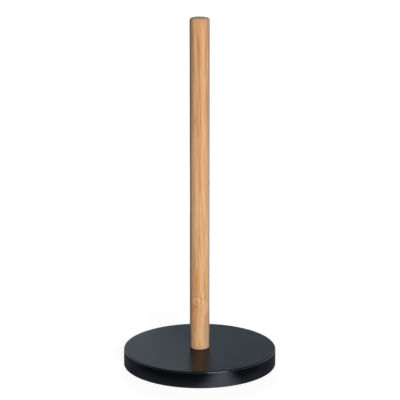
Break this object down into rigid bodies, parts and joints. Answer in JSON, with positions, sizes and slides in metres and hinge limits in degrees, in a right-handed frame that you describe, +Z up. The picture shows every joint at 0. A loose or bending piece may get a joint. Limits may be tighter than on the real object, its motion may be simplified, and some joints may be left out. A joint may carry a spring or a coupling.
{
  "type": "paper towel holder",
  "caption": "Free-standing paper towel holder: an upright bamboo rod, screwed from beneath to a round, weighted base with a black drawn steel shell.",
  "frame": {"origin": "on the table, under the rod's axis: centre of the bottom of the box", "axes": "+Z up the rod's axis; +X to the right and -Y towards the viewer of the picture"},
  "size_m": [0.14, 0.14, 0.322],
  "materials": {
    "bamboo": "satin lacquer over laminated bamboo",
    "black_coating": "satin black coating",
    "cement": "rough cast cement",
    "foam": "matt closed-cell foam",
    "zinc_plate": "zinc plated",
    "brass": "turned"
  },
  "bodies": {
    "root": {"bamboo_rod": "bamboo", "base_shell": "black_coating", "ballast": "cement", "non_slip_pad": "foam", "fixing_screw": "zinc_plate", "spring_washer": "zinc_plate", "flat_washer": "zinc_plate", "threaded_insert": "brass"}
  },
  "joints": []
}
